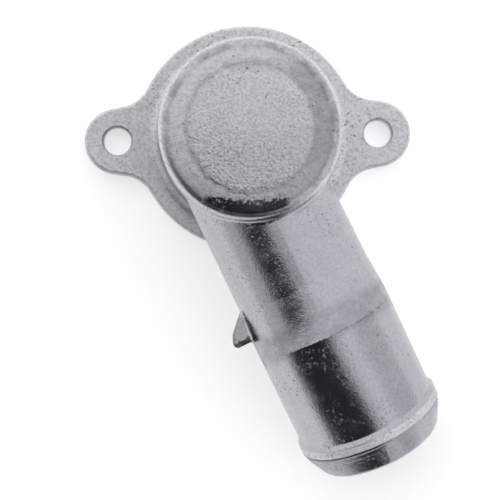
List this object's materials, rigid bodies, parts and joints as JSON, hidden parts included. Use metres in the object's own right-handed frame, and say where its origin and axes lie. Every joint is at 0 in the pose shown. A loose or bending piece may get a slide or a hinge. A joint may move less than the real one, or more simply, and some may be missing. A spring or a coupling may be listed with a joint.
{
  "type": "coolant flange",
  "caption": "Cast coolant flange: an eared bolt-down plate, a capped round housing and a bent hose pipe with a bead at its end.",
  "frame": {"origin": "centre of the sealing face, midway between the two bolt holes", "axes": "+Z from the sealing face to the cap, X through both bolt holes, the pipe leaves towards -Y"},
  "size_m": [0.0862, 0.1129, 0.0444],
  "materials": {
    "cast_aluminium": "as cast and tumbled, fine grain with small pits"
  },
  "bodies": {
    "root": {"coolant_flange": "cast_aluminium"}
  },
  "joints": []
}
